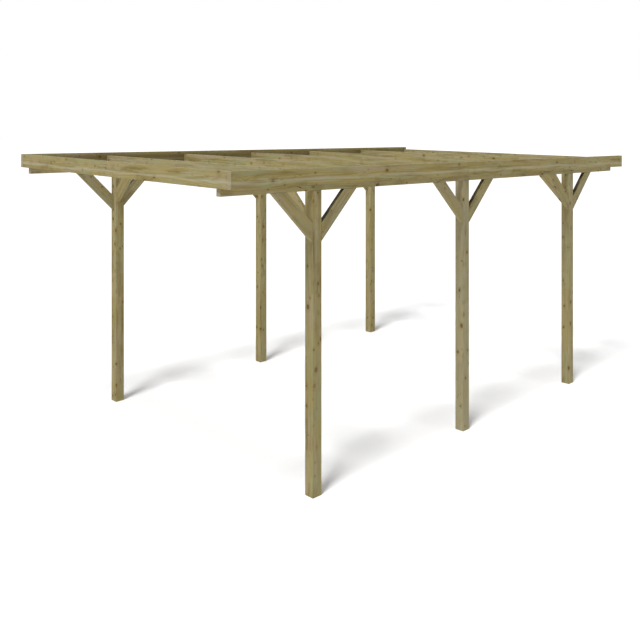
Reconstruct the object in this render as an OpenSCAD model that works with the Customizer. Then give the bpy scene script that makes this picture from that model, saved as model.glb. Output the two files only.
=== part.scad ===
// Timber carport frame: six posts, two purlins, rafters with edge boards, and knee braces.
// X runs across the width, Y along the length with the front at -Y, Z up from the ground.

/* [Plan] */
// Distance between the two rows of posts, centre to centre
row_gap = 2932; // [2400:2:3400]
// Distance between neighbouring posts of a row, centre to centre
post_gap = 1852; // [1500:2:2200]
// Reach of the side boards beyond the outer faces of the posts
side_reach = 139; // [100:1:300]
// Reach of the front board beyond the front faces of the front posts
front_reach = 869; // [650:1:1100]
// Reach of the back rafter beyond the back faces of the back posts
back_reach = 833; // [650:1:1100]

/* [Height] */
// Height of the purlin undersides at the middle posts
purlin_z = 2286; // [1900:1:2800]
// Fall of the roof towards the back, in degrees
fall = 1; // [0:0.1:3]

/* [Posts] */
// Side of the square posts
post_w = 90; // [80:1:120]

/* [Purlins] */
// Thickness of the purlins
purlin_t = 45; // [35:1:55]
// Height of the purlins
purlin_h = 70; // [65:1:160]
// Set-back of the purlin fronts behind the face of the front board
purlin_set = 15; // [5:1:30]

/* [Rafters] */
// Thickness of the rafters
rafter_t = 45; // [35:1:55]
// Height of the rafters
rafter_h = 95; // [85:1:140]
// Height of the rafter undersides above the purlin undersides
rafter_lift = 55; // [40:1:60]
// Clearance on each side of a rafter in its notch
notch_gap = 1; // [0.5:0.5:3]

/* [Edge boards] */
// Thickness of the front and side boards
board_t = 45; // [35:1:55]
// Height by which the boards stand above the rafters
upstand = 30; // [15:1:60]

/* [Knee braces] */
// Thickness of the braces
brace_t = 38; // [30:1:45]
// Depth of the lengthwise braces, square to their length
long_d = 100; // [70:1:120]
// Depth of the crosswise braces, square to their length
cross_d = 112; // [70:1:130]
// Drop of the lengthwise braces' lower edges below the purlins, at the post
long_drop = 388; // [300:1:600]
// Drop of the crosswise braces' lower edges below the rafters, at the post
cross_drop = 377; // [250:1:600]

/* [Hidden] */

left = -1;
right = 1;
front = -1;
middle = 0;
back = 1;

green_pine = "#8f8455";
pale_pine = "#9c9167";
grey_pine = "#877d55";

// The roof frame is drawn level, with z = 0 on the purlin undersides, and tipped by the fall.
half_row = row_gap / 2;
half_post = post_w / 2;
half_width = half_row + half_post + side_reach;
rafter_half = half_width - board_t;
roof_front = -post_gap - half_post - front_reach;
roof_back = post_gap + half_post + back_reach;
rafter_top = rafter_lift + rafter_h;
board_h = rafter_h + upstand;

// Rafters and purlins cross in halving joints: each gives up half of the height they share.
seat_z = (rafter_lift + purlin_h) / 2;
purlin_in = half_row + half_post - purlin_t;
open_h = purlin_h + rafter_top + board_h;
// Overrun of a cutting block past the wood, and length of a plumb cut over the depth of a brace.
overrun = 1;
plumb_cut = sqrt(2);
// The middle rafter of the five lies over the middle posts, and every second one over a row.
rafters = 5;
middle_rafter = (rafters + 1) / 2;

// The origin is the middle of the plan on the ground, so the middle posts stand a little off it.
plan_front = roof_front * cos(fall) + rafter_lift * sin(fall);
plan_back = roof_back * cos(fall) + (rafter_lift + board_h) * sin(fall);
middle_y = -(plan_front + plan_back) / 2;

// Place of a row of posts on the ground, and along the level roof.
function row_y(row) = middle_y + row * post_gap;
function row_along(row) = row * post_gap / cos(fall);
// Place along the level roof of a rafter's front: flush with the posts' front faces over a row.
function rafter_front(i) = row_along((i - middle_rafter) / 2) - half_post;
// Height of a purlin's underside over a place on the ground.
function under_purlin(y) = purlin_z - (y - middle_y) * tan(fall);

module tipped() {
    translate([0, middle_y, purlin_z])
        rotate([-fall, 0, 0])
            children();
}

// A bar from low corner to high corner, on the level roof.
module bar(low, high) {
    translate(low)
        cube(high - low);
}

// Post with its outer half cut down as a seat for the purlin, and its inner front quarter as a
// seat for the rafter. The quarter that is left stands up as a tongue behind both.
module post(side, row) {
    rafter_back = rafter_front(2 * row + middle_rafter) + rafter_t;
    color(green_pine)
        difference() {
            translate([side * half_row - half_post, row_y(row) - half_post, 0])
                cube([post_w, post_w, purlin_z + open_h]);
            tipped() {
                mid = side * half_row;
                seat = side * purlin_in;
                outer = side * (half_row + post_w);
                y_low = row_along(row) - post_w;
                y_high = row_along(row) + post_w;
                bar([min(seat, outer), y_low, 0], [max(seat, outer), y_high, open_h * 2]);
                bar([mid - post_w, y_low, rafter_lift], [mid + post_w, rafter_back, open_h * 2]);
                bar([mid - post_w, y_low, purlin_h], [mid + post_w, y_high, open_h * 2]);
            }
        }
}

// Purlin with halving notches from above, and a step at each end under the end rafters.
module purlin(side) {
    inner = min(side * purlin_in, side * (purlin_in + purlin_t));
    front_step = roof_front + board_t + notch_gap;
    back_step = roof_back - rafter_t - notch_gap;
    color(pale_pine)
        tipped()
            difference() {
                bar([inner, roof_front + purlin_set, 0], [inner + purlin_t, roof_back, purlin_h]);
                for (i = [1:rafters])
                    bar([inner - overrun, rafter_front(i) - notch_gap, seat_z],
                        [inner + purlin_t + overrun, rafter_front(i) + rafter_t + notch_gap, open_h]);
                bar([inner - overrun, roof_front, rafter_lift],
                    [inner + purlin_t + overrun, front_step, open_h]);
                bar([inner - overrun, back_step, rafter_lift],
                    [inner + purlin_t + overrun, roof_back + overrun, open_h]);
            }
}

// Rafter between the side boards, notched from below over both purlins.
module rafter(i) {
    face = rafter_front(i);
    color(green_pine)
        tipped()
            difference() {
                bar([-rafter_half, face, rafter_lift], [rafter_half, face + rafter_t, rafter_top]);
                for (side = [left, right]) {
                    inner = min(side * purlin_in, side * (purlin_in + purlin_t));
                    bar([inner - notch_gap, face - overrun, rafter_lift - overrun],
                        [inner + purlin_t + notch_gap, face + rafter_t + overrun, seat_z]);
                }
            }
}

// Back rafter, whole, on the steps at the purlins' back ends.
module back_rafter() {
    color(green_pine)
        tipped()
            bar([-rafter_half, roof_back - rafter_t, rafter_lift], [rafter_half, roof_back, rafter_top]);
}

// Front board, whole, on the steps at the purlins' front ends.
module front_board() {
    color(pale_pine)
        tipped()
            bar([-rafter_half, roof_front, rafter_lift],
                [rafter_half, roof_front + board_t, rafter_lift + board_h]);
}

// Side board along the rafter ends.
module side_board(side) {
    inner = min(side * rafter_half, side * half_width);
    color(pale_pine)
        tipped()
            bar([inner, roof_front, rafter_lift], [inner + board_t, roof_back, rafter_lift + board_h]);
}

// Lengthwise brace at 45 degrees, cut plumb against the post and to the fall under the purlin.
module long_brace(side, row, way) {
    y = row_y(row) + way * half_post;
    z = under_purlin(y);
    upper_drop = long_drop - long_d * plumb_cut;
    reach = long_drop / (1 + way * tan(fall));
    upper_reach = upper_drop / (1 + way * tan(fall));
    outer = half_row + half_post;
    inner = min(side * outer, side * (outer - brace_t));
    color(grey_pine)
        translate([inner, 0, 0])
            rotate([90, 0, 90])
                linear_extrude(brace_t)
                    polygon([
                        [y, z - long_drop],
                        [y + way * reach, under_purlin(y + way * reach)],
                        [y + way * upper_reach, under_purlin(y + way * upper_reach)],
                        [y, z - upper_drop]
                    ]);
}

// Crosswise brace at 45 degrees, flush with the post's front face, cut under its rafter.
module cross_brace(side, row) {
    y = row_y(row) - half_post;
    z = under_purlin(y) + rafter_lift;
    inner = half_row - half_post;
    upper_drop = cross_drop - cross_d * plumb_cut;
    rise = cross_drop + cross_d;
    color(grey_pine)
        difference() {
            translate([0, y + brace_t, 0])
                rotate([90, 0, 0])
                    linear_extrude(brace_t)
                        polygon([
                            [side * inner, z - cross_drop],
                            [side * (inner - rise), z - cross_drop + rise],
                            [side * (inner - rise), z - upper_drop + rise],
                            [side * inner, z - upper_drop]
                        ]);
            tipped()
                bar([-half_row, row_along(row) - post_gap, rafter_lift],
                    [half_row, row_along(row) + post_gap, open_h * 2]);
        }
}

module post_left_front() { post(left, front); }
module post_left_middle() { post(left, middle); }
module post_left_back() { post(left, back); }
module post_right_front() { post(right, front); }
module post_right_middle() { post(right, middle); }
module post_right_back() { post(right, back); }
module purlin_left() { purlin(left); }
module purlin_right() { purlin(right); }
module side_board_left() { side_board(left); }
module side_board_right() { side_board(right); }
module rafter_1() { rafter(1); }
module rafter_2() { rafter(2); }
module rafter_3() { rafter(3); }
module rafter_4() { rafter(4); }
module rafter_5() { rafter(5); }
module brace_left_front_a() { long_brace(left, front, front); }
module brace_left_front_b() { long_brace(left, front, back); }
module brace_left_middle_a() { long_brace(left, middle, front); }
module brace_left_middle_b() { long_brace(left, middle, back); }
module brace_left_back_a() { long_brace(left, back, front); }
module brace_left_back_b() { long_brace(left, back, back); }
module brace_right_front_a() { long_brace(right, front, front); }
module brace_right_front_b() { long_brace(right, front, back); }
module brace_right_middle_a() { long_brace(right, middle, front); }
module brace_right_middle_b() { long_brace(right, middle, back); }
module brace_right_back_a() { long_brace(right, back, front); }
module brace_right_back_b() { long_brace(right, back, back); }
module cross_brace_left_front() { cross_brace(left, front); }
module cross_brace_left_back() { cross_brace(left, back); }
module cross_brace_right_front() { cross_brace(right, front); }
module cross_brace_right_back() { cross_brace(right, back); }

post_left_front();
post_left_middle();
post_left_back();
post_right_front();
post_right_middle();
post_right_back();
purlin_left();
purlin_right();
front_board();
side_board_left();
side_board_right();
rafter_1();
rafter_2();
rafter_3();
rafter_4();
rafter_5();
back_rafter();
brace_left_front_a();
brace_left_front_b();
brace_left_middle_a();
brace_left_middle_b();
brace_left_back_a();
brace_left_back_b();
brace_right_front_a();
brace_right_front_b();
brace_right_middle_a();
brace_right_middle_b();
brace_right_back_a();
brace_right_back_b();
cross_brace_left_front();
cross_brace_left_back();
cross_brace_right_front();
cross_brace_right_back();
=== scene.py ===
import math
import random

import bmesh
import bpy
from mathutils import Matrix, Vector


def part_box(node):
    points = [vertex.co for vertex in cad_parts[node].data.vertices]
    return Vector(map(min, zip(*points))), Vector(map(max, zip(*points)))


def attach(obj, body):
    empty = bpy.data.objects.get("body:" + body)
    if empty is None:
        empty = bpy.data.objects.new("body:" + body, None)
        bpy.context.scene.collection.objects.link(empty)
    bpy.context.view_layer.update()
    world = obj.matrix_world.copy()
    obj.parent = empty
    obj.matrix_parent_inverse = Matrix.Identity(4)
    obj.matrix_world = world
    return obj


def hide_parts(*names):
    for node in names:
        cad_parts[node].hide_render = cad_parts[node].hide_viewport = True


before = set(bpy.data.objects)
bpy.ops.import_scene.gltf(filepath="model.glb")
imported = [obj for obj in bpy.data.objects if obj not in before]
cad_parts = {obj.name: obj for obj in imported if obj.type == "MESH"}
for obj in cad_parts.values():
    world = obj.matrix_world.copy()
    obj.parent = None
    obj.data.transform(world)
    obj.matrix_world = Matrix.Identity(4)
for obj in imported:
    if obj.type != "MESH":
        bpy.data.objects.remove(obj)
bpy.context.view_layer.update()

# Camera
# It looks level from beyond the right front corner, a little above the roof, and its picture is
# shifted down, so the posts stay upright as in the photograph.
image_side = 640
focal_px = 824.3
centre_px = (350.0, 112.4)
eye = Vector((6.099, -6.068, 2.909))
turn_left = 0.7861
sensor_width = 36.0
far_clip = 500.0

lens = bpy.data.cameras.new("camera")
lens.sensor_width = sensor_width
lens.lens = sensor_width * focal_px / image_side
lens.shift_x = 0.5 - centre_px[0] / image_side
lens.shift_y = centre_px[1] / image_side - 0.5
lens.clip_end = far_clip
camera = bpy.data.objects.new("camera", lens)
camera.location = eye
camera.rotation_euler = (math.radians(90), 0.0, turn_left)
bpy.context.scene.collection.objects.link(camera)
bpy.context.scene.camera = camera
bpy.context.scene.view_settings.view_transform = "Standard"

# Studio
# A wide pale floor under an even white sky, with one broad soft lamp high over the front end, so
# that faint shadows run back from the posts. Seen by the camera, floor and sky close to white.
white = (1.0, 1.0, 1.0, 1.0)
sky_strength = 0.38
sun_strength = 2.6
sun_spread = math.radians(13)
sun_from = Vector((0.14, -0.40, 0.90))
floor_tint = (0.80, 0.80, 0.80, 1.0)
floor_lift = 0.03
floor_side = 160.0


def add_node(tree, kind, inputs=None, **settings):
    """A shader node with its settings, and its input sockets set or linked."""
    made = tree.nodes.new(kind)
    for key, value in settings.items():
        setattr(made, key, value)
    for key, value in (inputs or {}).items():
        if isinstance(value, bpy.types.NodeSocket):
            tree.links.new(value, made.inputs[key])
        else:
            made.inputs[key].default_value = value
    return made


def calc(tree, operation, *values):
    """The result of one math node."""
    return add_node(tree, "ShaderNodeMath", dict(enumerate(values)), operation=operation).outputs[0]


def blend(tree, amount, under, over):
    """One colour laid over another."""
    return add_node(tree, "ShaderNodeMix", {0: amount, 6: under, 7: over}, data_type="RGBA").outputs[2]


def seen_directly(tree):
    """1 for rays that look straight, in a mirror or through glass, and 0 for light that bounces."""
    path = add_node(tree, "ShaderNodeLightPath").outputs
    mirrored = calc(tree, "MAXIMUM", path["Is Camera Ray"], path["Is Glossy Ray"])
    return calc(tree, "MAXIMUM", mirrored, path["Is Transmission Ray"])


sky = bpy.data.worlds.new("sky")
sky.use_nodes = True
tree = sky.node_tree
tree.nodes.clear()
sky_light = add_node(tree, "ShaderNodeBackground", {"Color": white, "Strength": sky_strength})
sky_white = add_node(tree, "ShaderNodeBackground", {"Color": white, "Strength": 1.0})
sky_mix = add_node(tree, "ShaderNodeMixShader", {
    0: seen_directly(tree), 1: sky_light.outputs[0], 2: sky_white.outputs[0]})
add_node(tree, "ShaderNodeOutputWorld", {"Surface": sky_mix.outputs[0]})
bpy.context.scene.world = sky

sun_lamp = bpy.data.lights.new("sun", "SUN")
sun_lamp.energy = sun_strength
sun_lamp.angle = sun_spread
sun = bpy.data.objects.new("sun", sun_lamp)
sun.rotation_euler = sun_from.to_track_quat("Z", "Y").to_euler()
bpy.context.scene.collection.objects.link(sun)

floor_paint = bpy.data.materials.new("floor_paint")
floor_paint.use_nodes = True
tree = floor_paint.node_tree
tree.nodes.clear()
seen = seen_directly(tree)
floor_shader = add_node(tree, "ShaderNodeBsdfPrincipled", {
    "Base Color": blend(tree, seen, floor_tint, white), "Roughness": 1.0, "Specular IOR Level": 0.0,
    "Emission Color": white, "Emission Strength": calc(tree, "MULTIPLY", seen, floor_lift)})
add_node(tree, "ShaderNodeOutputMaterial", {"Surface": floor_shader.outputs[0]})

bm = bmesh.new()
bmesh.ops.create_grid(bm, x_segments=1, y_segments=1, size=floor_side / 2)
floor_mesh = bpy.data.meshes.new("floor")
bm.to_mesh(floor_mesh)
bm.free()
floor_mesh.materials.append(floor_paint)
floor = bpy.data.objects.new("floor", floor_mesh)
bpy.context.scene.collection.objects.link(floor)

# Posts
# Six square posts of planed, pressure-treated pine, cut square at the foot and notched at the head
# to take a purlin on the outer half and a rafter over the inner front quarter.
arris = 0.003
arris_steps = 2
upright = Vector((0, 0, 1))
backward = Vector((0, 1, 0))
post_pith = (0.021, 0.034)
post_tone = {"left_front": 0.4, "left_middle": 0.5, "left_back": 0.55,
             "right_front": 0.4, "right_middle": 0.75, "right_back": 0.8}
usual_tone = 0.4
tone_spread = 0.2
grain_range = 40

post_pale = (0.43, 0.385, 0.21, 1)
post_deep = (0.225, 0.165, 0.05, 1)
green_tint = (0.355, 0.36, 0.185, 1)
rosy_tint = (0.45, 0.355, 0.23, 1)
ochre_tint = (0.39, 0.315, 0.115, 1)
silver_tint = (0.40, 0.375, 0.275, 1)
end_pale = (0.42, 0.365, 0.24, 1)
end_deep = (0.26, 0.205, 0.115, 1)
knot_brown = (0.17, 0.08, 0.010, 1)
knot_dark = (0.080, 0.036, 0.004, 1)
check_dark = (0.07, 0.045, 0.018, 1)
weathered = (0.15, 0.135, 0.085, 1)

# Rates are repeats per metre along and across the grain. An edge is where a mask goes from 0 to 1,
# in knot radii for the parts of a knot and in the pattern's own values elsewhere.
wander_rate = (0.8, 3.0)
wander_reach = 0.035
knot_rate = (8.5, 20.0)
knot_squash = 0.75
knot_least = 0.005
knot_spread = 0.009
knot_skew = 1.8
knot_faintest = 0.35
knot_lot = (0.26, 0.32)
ragged_rate = (190.0, 190.0)
ragged_reach = 0.5
knot_edge = (1.12, 0.92)
rim_edge = (0.55, 0.95)
knot_turn = 0.16
turn_edge = (0.02, 0.14)
halo_edge = (3.2, 0.9)
ring_rate = 210.0
ring_bulge = 0.8
late_rise = (0.3, 0.9)
late_fall = (1.0, 0.93)
check_rate = (1.6, 34.0)
check_edge = (0.006, 0.002)
check_spell_rate = (2.3, 11.0)
check_spell_edge = (0.62, 0.68)
fibre_rate = (7.0, 330.0)
fibre_edge = (0.35, 0.7)
streak_rate = (1.3, 46.0)
streak_edge = (0.3, 0.7)
mottle_rate = (11.0, 62.0)
patch_rate = (2.4, 21.0)
green_edge = (0.48, 0.66)
rosy_edge = (0.5, 0.68)
ochre_edge = (0.5, 0.66)
block_rate = (4.2, 23.0)
block_edge = (0.68, 0.74)
silver_edge = (0.45, 1.0)
base_shade = -0.1
base_rough = 0.56


def vector_calc(tree, operation, *values):
    """The result of one vector math node that gives a vector."""
    made = add_node(tree, "ShaderNodeVectorMath", dict(enumerate(values)), operation=operation)
    return made.outputs["Vector"]


def parts_of(tree, colour):
    """The three channels of a colour."""
    return add_node(tree, "ShaderNodeSeparateColor", {0: colour}).outputs


def ease(tree, value, edge):
    """A smooth step from 0 at the first end of an edge to 1 at the second."""
    return add_node(tree, "ShaderNodeMapRange", {"Value": value, "From Min": edge[0], "From Max": edge[1]},
                    interpolation_type="SMOOTHSTEP").outputs[0]


def stretched(tree, grain, rate):
    """Grain coordinates scaled along and across the grain."""
    return vector_calc(tree, "MULTIPLY", grain, (rate[0], rate[1], rate[1]))


def noise(tree, grain, rate, detail=1.0):
    """Soft noise with a rate along and across the grain, as a value and a colour."""
    return add_node(tree, "ShaderNodeTexNoise", {
        "Vector": stretched(tree, grain, rate), "Scale": 1.0, "Detail": detail}).outputs


def open_group(name, inputs, outputs):
    """A new node group with its sockets, given as pairs of name and kind, and its input values."""
    group = bpy.data.node_groups.new(name, "ShaderNodeTree")
    for way, sockets in (("INPUT", inputs), ("OUTPUT", outputs)):
        for socket, kind in sockets:
            group.interface.new_socket(socket, in_out=way, socket_type="NodeSocket" + kind)
    return group, add_node(group, "NodeGroupInput").outputs


def knots(tree, grain, bent):
    """Masks of knots, their rims, inner turns and halos, and the radius of the nearest knot."""
    cells = stretched(tree, bent, knot_rate)
    cell = add_node(tree, "ShaderNodeTexVoronoi", {"Vector": cells, "Scale": 1.0}, feature="F1").outputs
    away = vector_calc(tree, "SUBTRACT", cells, cell["Position"])
    away = stretched(tree, away, (knot_squash / knot_rate[0], 1 / knot_rate[1]))
    away = add_node(tree, "ShaderNodeVectorMath", {0: away}, operation="LENGTH").outputs["Value"]
    lot = parts_of(tree, cell["Color"])
    radius = calc(tree, "MULTIPLY_ADD", calc(tree, "POWER", lot[0], knot_skew), knot_spread, knot_least)
    strength = calc(tree, "MULTIPLY_ADD", lot[2], 1 - knot_faintest, knot_faintest)
    there = calc(tree, "MULTIPLY", ease(tree, lot[1], knot_lot), strength)
    ragged = noise(tree, grain, ragged_rate)[0]
    ragged = calc(tree, "MULTIPLY_ADD", ragged, ragged_reach, -ragged_reach / 2)
    reach = calc(tree, "ADD", calc(tree, "DIVIDE", away, radius), ragged)
    knot = calc(tree, "MULTIPLY", there, ease(tree, reach, knot_edge))
    rim = calc(tree, "MULTIPLY", knot, ease(tree, reach, rim_edge))
    turns = ease(tree, calc(tree, "PINGPONG", reach, knot_turn), turn_edge)
    turns = calc(tree, "MULTIPLY", knot, turns)
    halo = calc(tree, "MULTIPLY", there, ease(tree, reach, halo_edge))
    return knot, rim, turns, halo, radius


def late_wood(tree, bent, halo, radius):
    """The dark outer part of each growth ring; the rings bulge round the knots."""
    split = add_node(tree, "ShaderNodeSeparateXYZ", {0: bent}).outputs
    squares = [calc(tree, "MULTIPLY", split[i], split[i]) for i in (1, 2)]
    from_pith = calc(tree, "SQRT", calc(tree, "ADD", *squares))
    bulge = calc(tree, "MULTIPLY", halo, calc(tree, "MULTIPLY", radius, ring_bulge))
    from_pith = calc(tree, "ADD", from_pith, bulge)
    ring = calc(tree, "FRACT", calc(tree, "MULTIPLY", from_pith, ring_rate))
    return calc(tree, "MULTIPLY", ease(tree, ring, late_rise), ease(tree, ring, late_fall))


def drying_checks(tree, grain, bent):
    """Fine cracks along the grain, that come in spells."""
    cleft = noise(tree, bent, check_rate)[0]
    cleft = calc(tree, "ABSOLUTE", calc(tree, "SUBTRACT", cleft, 0.5))
    spell = noise(tree, grain, check_spell_rate, detail=0.0)[0]
    return calc(tree, "MULTIPLY", ease(tree, cleft, check_edge), ease(tree, spell, check_spell_edge))


def pine_figure():
    """A node group with the figure and the wear of knotty pine, from its grain and face marks."""
    group, given = open_group(
        "pine_figure",
        (("Grain", "Vector"), ("Tone", "Float"), ("End", "Float"), ("Arris", "Float"), ("Top", "Float"),
         ("Pale", "Color"), ("Deep", "Color")),
        (("Color", "Color"), ("Roughness", "Float"), ("Height", "Float")))
    grain = given["Grain"]
    wander = noise(group, grain, wander_rate)["Color"]
    wander = vector_calc(group, "SUBTRACT", wander, (0.5, 0.5, 0.5))
    bent = vector_calc(group, "ADD", grain, stretched(group, wander, (0.0, wander_reach)))

    knot, rim, turns, halo, radius = knots(group, grain, bent)
    late = late_wood(group, bent, halo, radius)
    check = drying_checks(group, grain, bent)
    fibre = noise(group, grain, fibre_rate, detail=2.0)[0]
    streak = noise(group, bent, streak_rate, detail=2.0)[0]
    mottle = noise(group, bent, mottle_rate, detail=2.0)[0]
    patch = parts_of(group, noise(group, bent, patch_rate)["Color"])
    block = vector_calc(group, "FLOOR", stretched(group, bent, block_rate))
    block = add_node(group, "ShaderNodeTexWhiteNoise", {0: block}, noise_dimensions="3D").outputs
    lump = parts_of(group, block["Color"])[2]

    # How much each pattern lightens the wood, from its deep colour to its pale one.
    shade = base_shade
    for pattern, share in ((given["Tone"], 0.3), (ease(group, streak, streak_edge), 0.55),
                           (block["Value"], 0.4), (calc(group, "SUBTRACT", mottle, 0.5), 1.1)):
        shade = calc(group, "MULTIPLY_ADD", pattern, share, shade)
    colour = blend(group, shade, given["Deep"], given["Pale"])

    # The layers over that colour, each with its mask, strength and tint, from the lowest to the top.
    layers = ((ease(group, patch[0], green_edge), 0.7, green_tint),
              (ease(group, patch[1], rosy_edge), 0.6, rosy_tint),
              (ease(group, patch[2], ochre_edge), 0.6, ochre_tint),
              (ease(group, lump, block_edge), 0.42, ochre_tint),
              (ease(group, given["Tone"], silver_edge), 0.5, silver_tint),
              (late, 0.42, given["Deep"]),
              (ease(group, fibre, fibre_edge), 0.2, given["Deep"]),
              (halo, 0.5, given["Deep"]),
              (knot, 0.92, knot_brown),
              (rim, 0.75, knot_dark),
              (turns, 0.35, knot_dark),
              (check, 0.85, check_dark),
              (given["End"], 0.75, blend(group, late, end_pale, end_deep)),
              (given["Arris"], 0.12, given["Pale"]),
              (given["Top"], 0.6, weathered))
    for mask, strength, tint in layers:
        colour = blend(group, calc(group, "MULTIPLY", mask, strength), colour, tint)

    # How much each pattern adds to the roughness, and to the height of the surface.
    rough = base_rough
    for pattern, share in ((fibre, 0.22), (knot, -0.06)):
        rough = calc(group, "MULTIPLY_ADD", pattern, share, rough)
    height = 0.0
    for pattern, share in ((fibre, 0.5), (late, 0.55), (knot, 0.5), (check, -2.0)):
        height = calc(group, "MULTIPLY_ADD", pattern, share, height)
    add_node(group, "NodeGroupOutput", {"Color": colour, "Roughness": rough, "Height": height})
    return group


figure = pine_figure()
wood_shine = 0.2
relief = 0.0008
relief_strength = 0.6


def pine(name, pale, deep):
    """A pine material with its shader and grain coordinates, which stay open to stains and painted shade.
    """
    paint = bpy.data.materials.new(name)
    paint.use_nodes = True
    tree = paint.node_tree
    tree.nodes.clear()
    grain = add_node(tree, "ShaderNodeAttribute", attribute_name="grain").outputs["Vector"]
    given = {"Grain": grain, "Pale": pale, "Deep": deep}
    for mark in ("tone", "end", "arris", "top"):
        given[mark.title()] = add_node(tree, "ShaderNodeAttribute", attribute_name=mark).outputs["Fac"]
    wood = add_node(tree, "ShaderNodeGroup", given, node_tree=figure).outputs
    bump = add_node(tree, "ShaderNodeBump", {
        "Height": wood["Height"], "Strength": relief_strength, "Distance": relief})
    shader = add_node(tree, "ShaderNodeBsdfPrincipled", {
        "Base Color": wood["Color"], "Roughness": wood["Roughness"], "Specular IOR Level": wood_shine,
        "Normal": bump.outputs[0]})
    add_node(tree, "ShaderNodeOutputMaterial", {"Surface": shader.outputs[0]})
    return paint, shader, grain


# A face looks some way when its normal has more than this much of that direction.
end_facing = 0.6
shade_facing = 0.6
top_facing = 0.9

steep = 0.9
merge_gap = 1e-5
flat_angle = math.radians(0.2)
corner_angle = math.radians(20)


def eased_solid(node):
    """A copy of a CAD node with its arrises eased, the faces of the arrises and the copy's middle."""
    bm = bmesh.new()
    bm.from_mesh(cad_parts[node].data)
    bmesh.ops.remove_doubles(bm, verts=bm.verts, dist=merge_gap)
    bmesh.ops.dissolve_limit(bm, angle_limit=flat_angle, verts=bm.verts, edges=bm.edges)
    low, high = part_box(node)
    corners = [e for e in bm.edges if e.is_convex and e.calc_face_angle(0.0) > corner_angle]
    eased = bmesh.ops.bevel(bm, geom=corners, offset=arris, offset_type="OFFSET", segments=arris_steps,
                            profile=0.5, affect="EDGES", material=-1, clamp_overlap=True)
    bm.normal_update()
    return bm, set(eased["faces"]), (low + high) / 2


def sawn_timber(node, along, paint, pith, painted_shade=None, tone=usual_tone):
    """A timber that stands for a CAD node, its grain running along it, with marks for its paint and its
    painted shade.
    """
    lot = random.Random(node)
    tone += lot.uniform(-tone_spread, tone_spread)
    start = lot.uniform(0, grain_range)
    bm, arris_faces, middle = eased_solid(node)
    along = along.normalized()
    side = along.cross(upright if abs(along.z) < steep else backward).normalized()
    rise = side.cross(along)
    marks = {name: bm.faces.layers.float.new(name) for name in ("end", "arris", "tone", "painted_shade", "top")}
    grain = bm.verts.layers.float_vector.new("grain")
    for face in bm.faces:
        face[marks["end"]] = float(abs(face.normal.dot(along)) > end_facing)
        face[marks["arris"]] = float(face in arris_faces)
        face[marks["tone"]] = tone
        face[marks["top"]] = float(face.normal.z > top_facing)
        # Faces that look along the given way are marked to carry painted shade.
        face[marks["painted_shade"]] = float(painted_shade is not None and face.normal.dot(painted_shade) > shade_facing)
    for vert in bm.verts:
        spot = vert.co - middle
        vert[grain] = (spot.dot(along) + start, spot.dot(side) + pith[0], spot.dot(rise) + pith[1])
    mesh = bpy.data.meshes.new(node + "_timber")
    bm.to_mesh(mesh)
    bm.free()
    mesh.materials.append(paint)
    timber = bpy.data.objects.new(node + "_timber", mesh)
    bpy.context.scene.collection.objects.link(timber)
    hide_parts(node)
    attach(timber, "root")


post_pine = pine("post_pine", post_pale, post_deep)[0]
for side_name in ("left", "right"):
    for row_name in ("front", "middle", "back"):
        sawn_timber(f"post_{side_name}_{row_name}", upright, post_pine, post_pith,
                    tone=post_tone[f"{side_name}_{row_name}"])

# Purlins
# Two long pine timbers along the rows of posts, let into the outer halves of the post heads, held
# to the tongues by coach screws, and notched on top where the rafters cross them.
fall = math.radians(1)
down_the_roof = Vector((0, math.cos(fall), -math.sin(fall)))
purlin_pith = (0.055, -0.03)
purlin_pale = (0.42, 0.37, 0.21, 1)
purlin_deep = (0.22, 0.165, 0.055, 1)
purlin_pine = pine("purlin_pine", purlin_pale, purlin_deep)[0]
for side_name in ("left", "right"):
    sawn_timber(f"purlin_{side_name}", down_the_roof, purlin_pine, purlin_pith)

# Rafters
# Five rafters notched over the purlins and one across their back ends, all of the same planed pine
# with a pale strip of sapwood along it, held by screws through the side boards.
across_the_roof = Vector((1, 0, 0))
rafter_pith = (0.05, 0.02)
rafter_pale = (0.405, 0.367, 0.2, 1)
rafter_deep = (0.215, 0.163, 0.045, 1)
sapwood = (0.46, 0.42, 0.285, 1)
rafter_strip = {"Height": rafter_pith[1] + 0.030, "Half": 0.011, "Drift": 0.11, "Strength": 0.32}
wave_rate = (1.1, 2.0)
broken_rate = (2.0, 110.0)
broken_edge = (0.25, 0.6)
strip_outer = 1.7
strip_inner = 0.2


def sapwood_mask():
    """A node group that masks a strip along a timber, its height being over the pith; it drifts."""
    group, given = open_group(
        "sapwood_mask",
        (("Grain", "Vector"), ("Height", "Float"), ("Half", "Float"), ("Drift", "Float"),
         ("Strength", "Float")),
        (("Amount", "Float"),))
    level = add_node(group, "ShaderNodeSeparateXYZ", {0: given["Grain"]}).outputs[2]
    wave = calc(group, "SUBTRACT", noise(group, given["Grain"], wave_rate)[0], 0.5)
    off = calc(group, "MULTIPLY_ADD", wave, given["Drift"], calc(group, "SUBTRACT", level, given["Height"]))
    edge = [calc(group, "MULTIPLY", given["Half"], share) for share in (strip_outer, strip_inner)]
    strip = ease(group, calc(group, "ABSOLUTE", off), edge)
    broken = ease(group, noise(group, given["Grain"], broken_rate, detail=2.0)[0], broken_edge)
    amount = calc(group, "MULTIPLY", strip, calc(group, "MULTIPLY", broken, given["Strength"]))
    add_node(group, "NodeGroupOutput", {"Amount": amount})
    return group


sapwood_figure = sapwood_mask()


def stain_and_shade(shader, amount, tint):
    """Lays a tint over the colour that a shader has so far: a stain, or painted shade."""
    tree = shader.id_data
    under = shader.inputs["Base Color"].links[0].from_socket
    tree.links.new(blend(tree, amount, under, tint), shader.inputs["Base Color"])


def sapwood_strip(shader, grain, strip):
    """Lays a strip of sapwood over a pine material."""
    mask = add_node(shader.id_data, "ShaderNodeGroup", {"Grain": grain, **strip}, node_tree=sapwood_figure)
    stain_and_shade(shader, mask.outputs["Amount"], sapwood)


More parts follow.
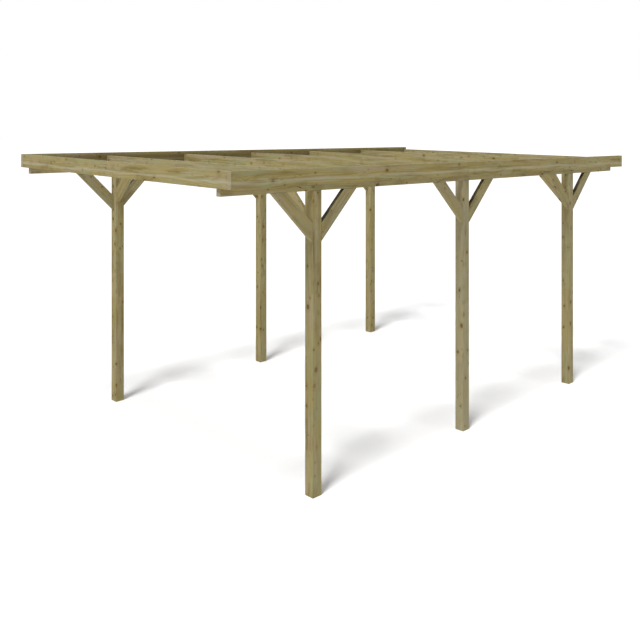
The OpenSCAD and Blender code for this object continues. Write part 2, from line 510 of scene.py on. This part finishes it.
rafter_pine, rafter_shader, rafter_grain = pine("rafter_pine", rafter_pale, rafter_deep)
sapwood_strip(rafter_shader, rafter_grain, rafter_strip)
rafter_names = [f"rafter_{count}" for count in (1, 2, 3, 4, 5)] + ["back_rafter"]
for name in rafter_names:
    sawn_timber(name, across_the_roof, rafter_pine, rafter_pith)

# Edge boards
# The front board and two side boards of pine, which close the roof frame and stand above the
# rafters. The side boards are screwed to the ends of the rafters and of the front board. Inside,
# all three carry painted shade, darker below a wavy line near the top, where the recess is shaded.
board_pith = (0.075, 0.012)
side_board_tone = 0.1
board_pale = (0.405, 0.36, 0.188, 1)
board_deep = (0.215, 0.158, 0.038, 1)
board_strip = {"Height": board_pith[1] - 0.016, "Half": 0.011, "Drift": 0.035, "Strength": 0.66}
# Painted shade inside the boards: its colour, the height of its wavy upper edge, its fade and wave, its
# strength.
recess_shade_colour = (0.115, 0.086, 0.030, 1)
recess_shade_top = board_pith[1] + 0.055
recess_shade_fade = 0.03
recess_shade_wave = 0.03
recess_shade_strength = 0.5

board_pine, board_shader, board_grain = pine("board_pine", board_pale, board_deep)
sapwood_strip(board_shader, board_grain, board_strip)
tree = board_pine.node_tree
# Painted shade, laid over the inner faces below a wavy line near the top.
inside = add_node(tree, "ShaderNodeAttribute", attribute_name="painted_shade").outputs["Fac"]
level = add_node(tree, "ShaderNodeSeparateXYZ", {0: board_grain}).outputs[2]
wave = calc(tree, "SUBTRACT", noise(tree, board_grain, wave_rate)[0], 0.5)
level = calc(tree, "MULTIPLY_ADD", wave, recess_shade_wave, level)
painted_shade = calc(tree, "MULTIPLY", inside, ease(tree, level, (recess_shade_top, recess_shade_top - recess_shade_fade)))
stain_and_shade(board_shader, calc(tree, "MULTIPLY", painted_shade, recess_shade_strength), recess_shade_colour)
sawn_timber("front_board", across_the_roof, board_pine, board_pith, backward)
for side_name, way in (("left", 1), ("right", -1)):
    sawn_timber(f"side_board_{side_name}", down_the_roof, board_pine, board_pith,
                Vector((way, 0, 0)), tone=side_board_tone)

# Lengthwise braces
# Twelve pine knee braces, one each way from every post, flush with the outer faces, cut plumb at
# the post and to the roof's fall at the purlin, and screwed. Their upper faces carry painted shade.
long_pith = (0.04, 0.05)
long_tone = 0.55
brace_pale = (0.42, 0.37, 0.20, 1)
brace_deep = (0.22, 0.163, 0.052, 1)
# Painted shade for the braces' upper faces: nearly black, in blotches of varying strength.
upper_shade_colour = (0.035, 0.03, 0.014, 1)
blotch_rate = (14.0, 40.0)
blotch_edge = (0.3, 0.6)
upper_shade_least = 0.65
upper_shade_spread = 0.3

brace_pine, brace_shader, brace_grain = pine("brace_pine", brace_pale, brace_deep)
tree = brace_pine.node_tree
# Painted shade over the upper faces, in blotches.
upper = add_node(tree, "ShaderNodeAttribute", attribute_name="painted_shade").outputs["Fac"]
blotch = ease(tree, noise(tree, brace_grain, blotch_rate, detail=2.0)[0], blotch_edge)
upper_shade = calc(tree, "MULTIPLY_ADD", blotch, upper_shade_spread, upper_shade_least)
stain_and_shade(brace_shader, calc(tree, "MULTIPLY", upper, upper_shade), upper_shade_colour)
for side_name in ("left", "right"):
    for row_name in ("front", "middle", "back"):
        for way_name, way in (("a", -1), ("b", 1)):
            sawn_timber(f"brace_{side_name}_{row_name}_{way_name}", Vector((0, way, 1)), brace_pine,
                        long_pith, Vector((0, -way, 1)).normalized(), tone=long_tone)

# Crosswise braces
# Four pine knee braces from the front and back posts to the rafters over them, flush with the
# posts' front faces, a little deeper than the lengthwise ones and screwed in the same way.
cross_pith = (0.05, 0.015)
for side_name, way in (("left", 1), ("right", -1)):
    for row_name in ("front", "back"):
        sawn_timber(f"cross_brace_{side_name}_{row_name}", Vector((way, 0, 1)), brace_pine,
                    cross_pith)

# Fixings
# Zinc-plated steel: countersunk screws through the side boards and up through the braces' lower
# edges, and a coach screw with a washer from inside through each post's tongue into the purlin.
zinc_bright = (0.40, 0.385, 0.33, 1)
zinc_dull = (0.24, 0.225, 0.175, 1)
zinc_metal = 0.8
spangle_rate = 700.0
zinc_smoothest = 0.42
zinc_spread = 0.2
roof_up = Vector((0, math.sin(fall), math.cos(fall)))
pair_half = 0.0225
foot_screw = 0.05
long_head_screw = 0.32
cross_head_screw = 0.29
tongue_drop = 0.035
head_radius = 0.0045
head_rise = 0.0006
head_taper = 0.9
head_sides = 24
socket_rim = 0.45 * head_radius
socket_wall = 0.05 * head_radius
socket_depth = 0.9 * head_rise
washer_radius = 0.0135
washer_rise = 0.002
washer_taper = 0.96
washer_sides = 32
bolt_radius = 0.0098
bolt_rise = 0.0065
bolt_taper = 0.95
bolt_sides = 6

zinc = bpy.data.materials.new("zinc_fixing")
zinc.use_nodes = True
tree = zinc.node_tree
tree.nodes.clear()
place = add_node(tree, "ShaderNodeTexCoord").outputs["Object"]
spangle = add_node(tree, "ShaderNodeTexVoronoi", {"Vector": place, "Scale": spangle_rate}).outputs["Color"]
spangle = parts_of(tree, spangle)[0]
zinc_shader = add_node(tree, "ShaderNodeBsdfPrincipled", {
    "Base Color": blend(tree, spangle, zinc_dull, zinc_bright), "Metallic": zinc_metal,
    "Roughness": calc(tree, "MULTIPLY_ADD", spangle, zinc_spread, zinc_smoothest)})
add_node(tree, "ShaderNodeOutputMaterial", {"Surface": zinc_shader.outputs[0]})


def disc(bm, spot, outward, sides, radius, taper, rise):
    """A short cone that stands on a surface, and its upper face."""
    turn = outward.to_track_quat("Z", "Y").to_matrix().to_4x4()
    made = bmesh.ops.create_cone(bm, cap_ends=True, segments=sides, radius1=radius,
                                 radius2=radius * taper, depth=rise,
                                 matrix=Matrix.Translation(spot + outward * rise / 2) @ turn)
    bm.normal_update()
    faces = {face for vert in made["verts"] for face in vert.link_faces}
    return [face for face in faces if face.normal.dot(outward) > top_facing]


def screw(bm, spot, outward):
    """A countersunk head, just proud of the wood, with a driver socket."""
    top = disc(bm, spot, outward, head_sides, head_radius, head_taper, head_rise)
    bmesh.ops.inset_region(bm, faces=top, thickness=socket_rim)
    bmesh.ops.inset_region(bm, faces=top, thickness=socket_wall, depth=-socket_depth)


def coach_screw(bm, spot, outward):
    """A hexagon head on a washer."""
    disc(bm, spot, outward, washer_sides, washer_radius, washer_taper, washer_rise)
    disc(bm, spot + outward * washer_rise, outward, bolt_sides, bolt_radius, bolt_taper, bolt_rise)


def fixings(name, spots, make):
    """One object with a fixing at each spot, given with its outward direction."""
    bm = bmesh.new()
    for spot, outward in spots:
        make(bm, spot, outward.normalized())
    mesh = bpy.data.meshes.new(name)
    bm.to_mesh(mesh)
    bm.free()
    mesh.materials.append(zinc)
    made = bpy.data.objects.new(name, mesh)
    bpy.context.scene.collection.objects.link(made)
    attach(made, "root")


def face_middle(node, way):
    """The middle of the side of a CAD node's box that looks along way."""
    low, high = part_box(node)
    return (low + high) / 2 + way * abs((high - low).dot(way)) / 2


def brace_screws(node, way, head_screw):
    """Two screws in a brace's lower edge, near its foot and its head; way is where it leans out."""
    foot = face_middle(node, -way)
    foot.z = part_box(node)[0].z
    return [(foot + (way + upright) * up, way - upright) for up in (foot_screw, head_screw)]


board_spots = []
brace_spots = []
tongue_spots = []
for side_name, outward in (("left", -across_the_roof), ("right", across_the_roof)):
    for name in ["front_board"] + rafter_names:
        low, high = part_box(name)
        for shift in (-pair_half, pair_half):
            spot = (low + high) / 2 + roof_up * shift
            spot.x = face_middle(f"side_board_{side_name}", outward).x
            board_spots.append((spot, outward))
    for row_name in ("front", "middle", "back"):
        for way_name, way in (("a", -backward), ("b", backward)):
            brace_spots += brace_screws(f"brace_{side_name}_{row_name}_{way_name}", way, long_head_screw)
        post = f"post_{side_name}_{row_name}"
        low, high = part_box(post)
        tongue = face_middle(post, -outward)
        tongue.y = (tongue.y + high.y) / 2
        tongue.z = high.z - tongue_drop
        tongue_spots.append((tongue, -outward))
    for row_name in ("front", "back"):
        brace_spots += brace_screws(f"cross_brace_{side_name}_{row_name}", -outward, cross_head_screw)
fixings("board_screws", board_spots, screw)
fixings("brace_screws", brace_spots, screw)
fixings("tongue_screws", tongue_spots, coach_screw)
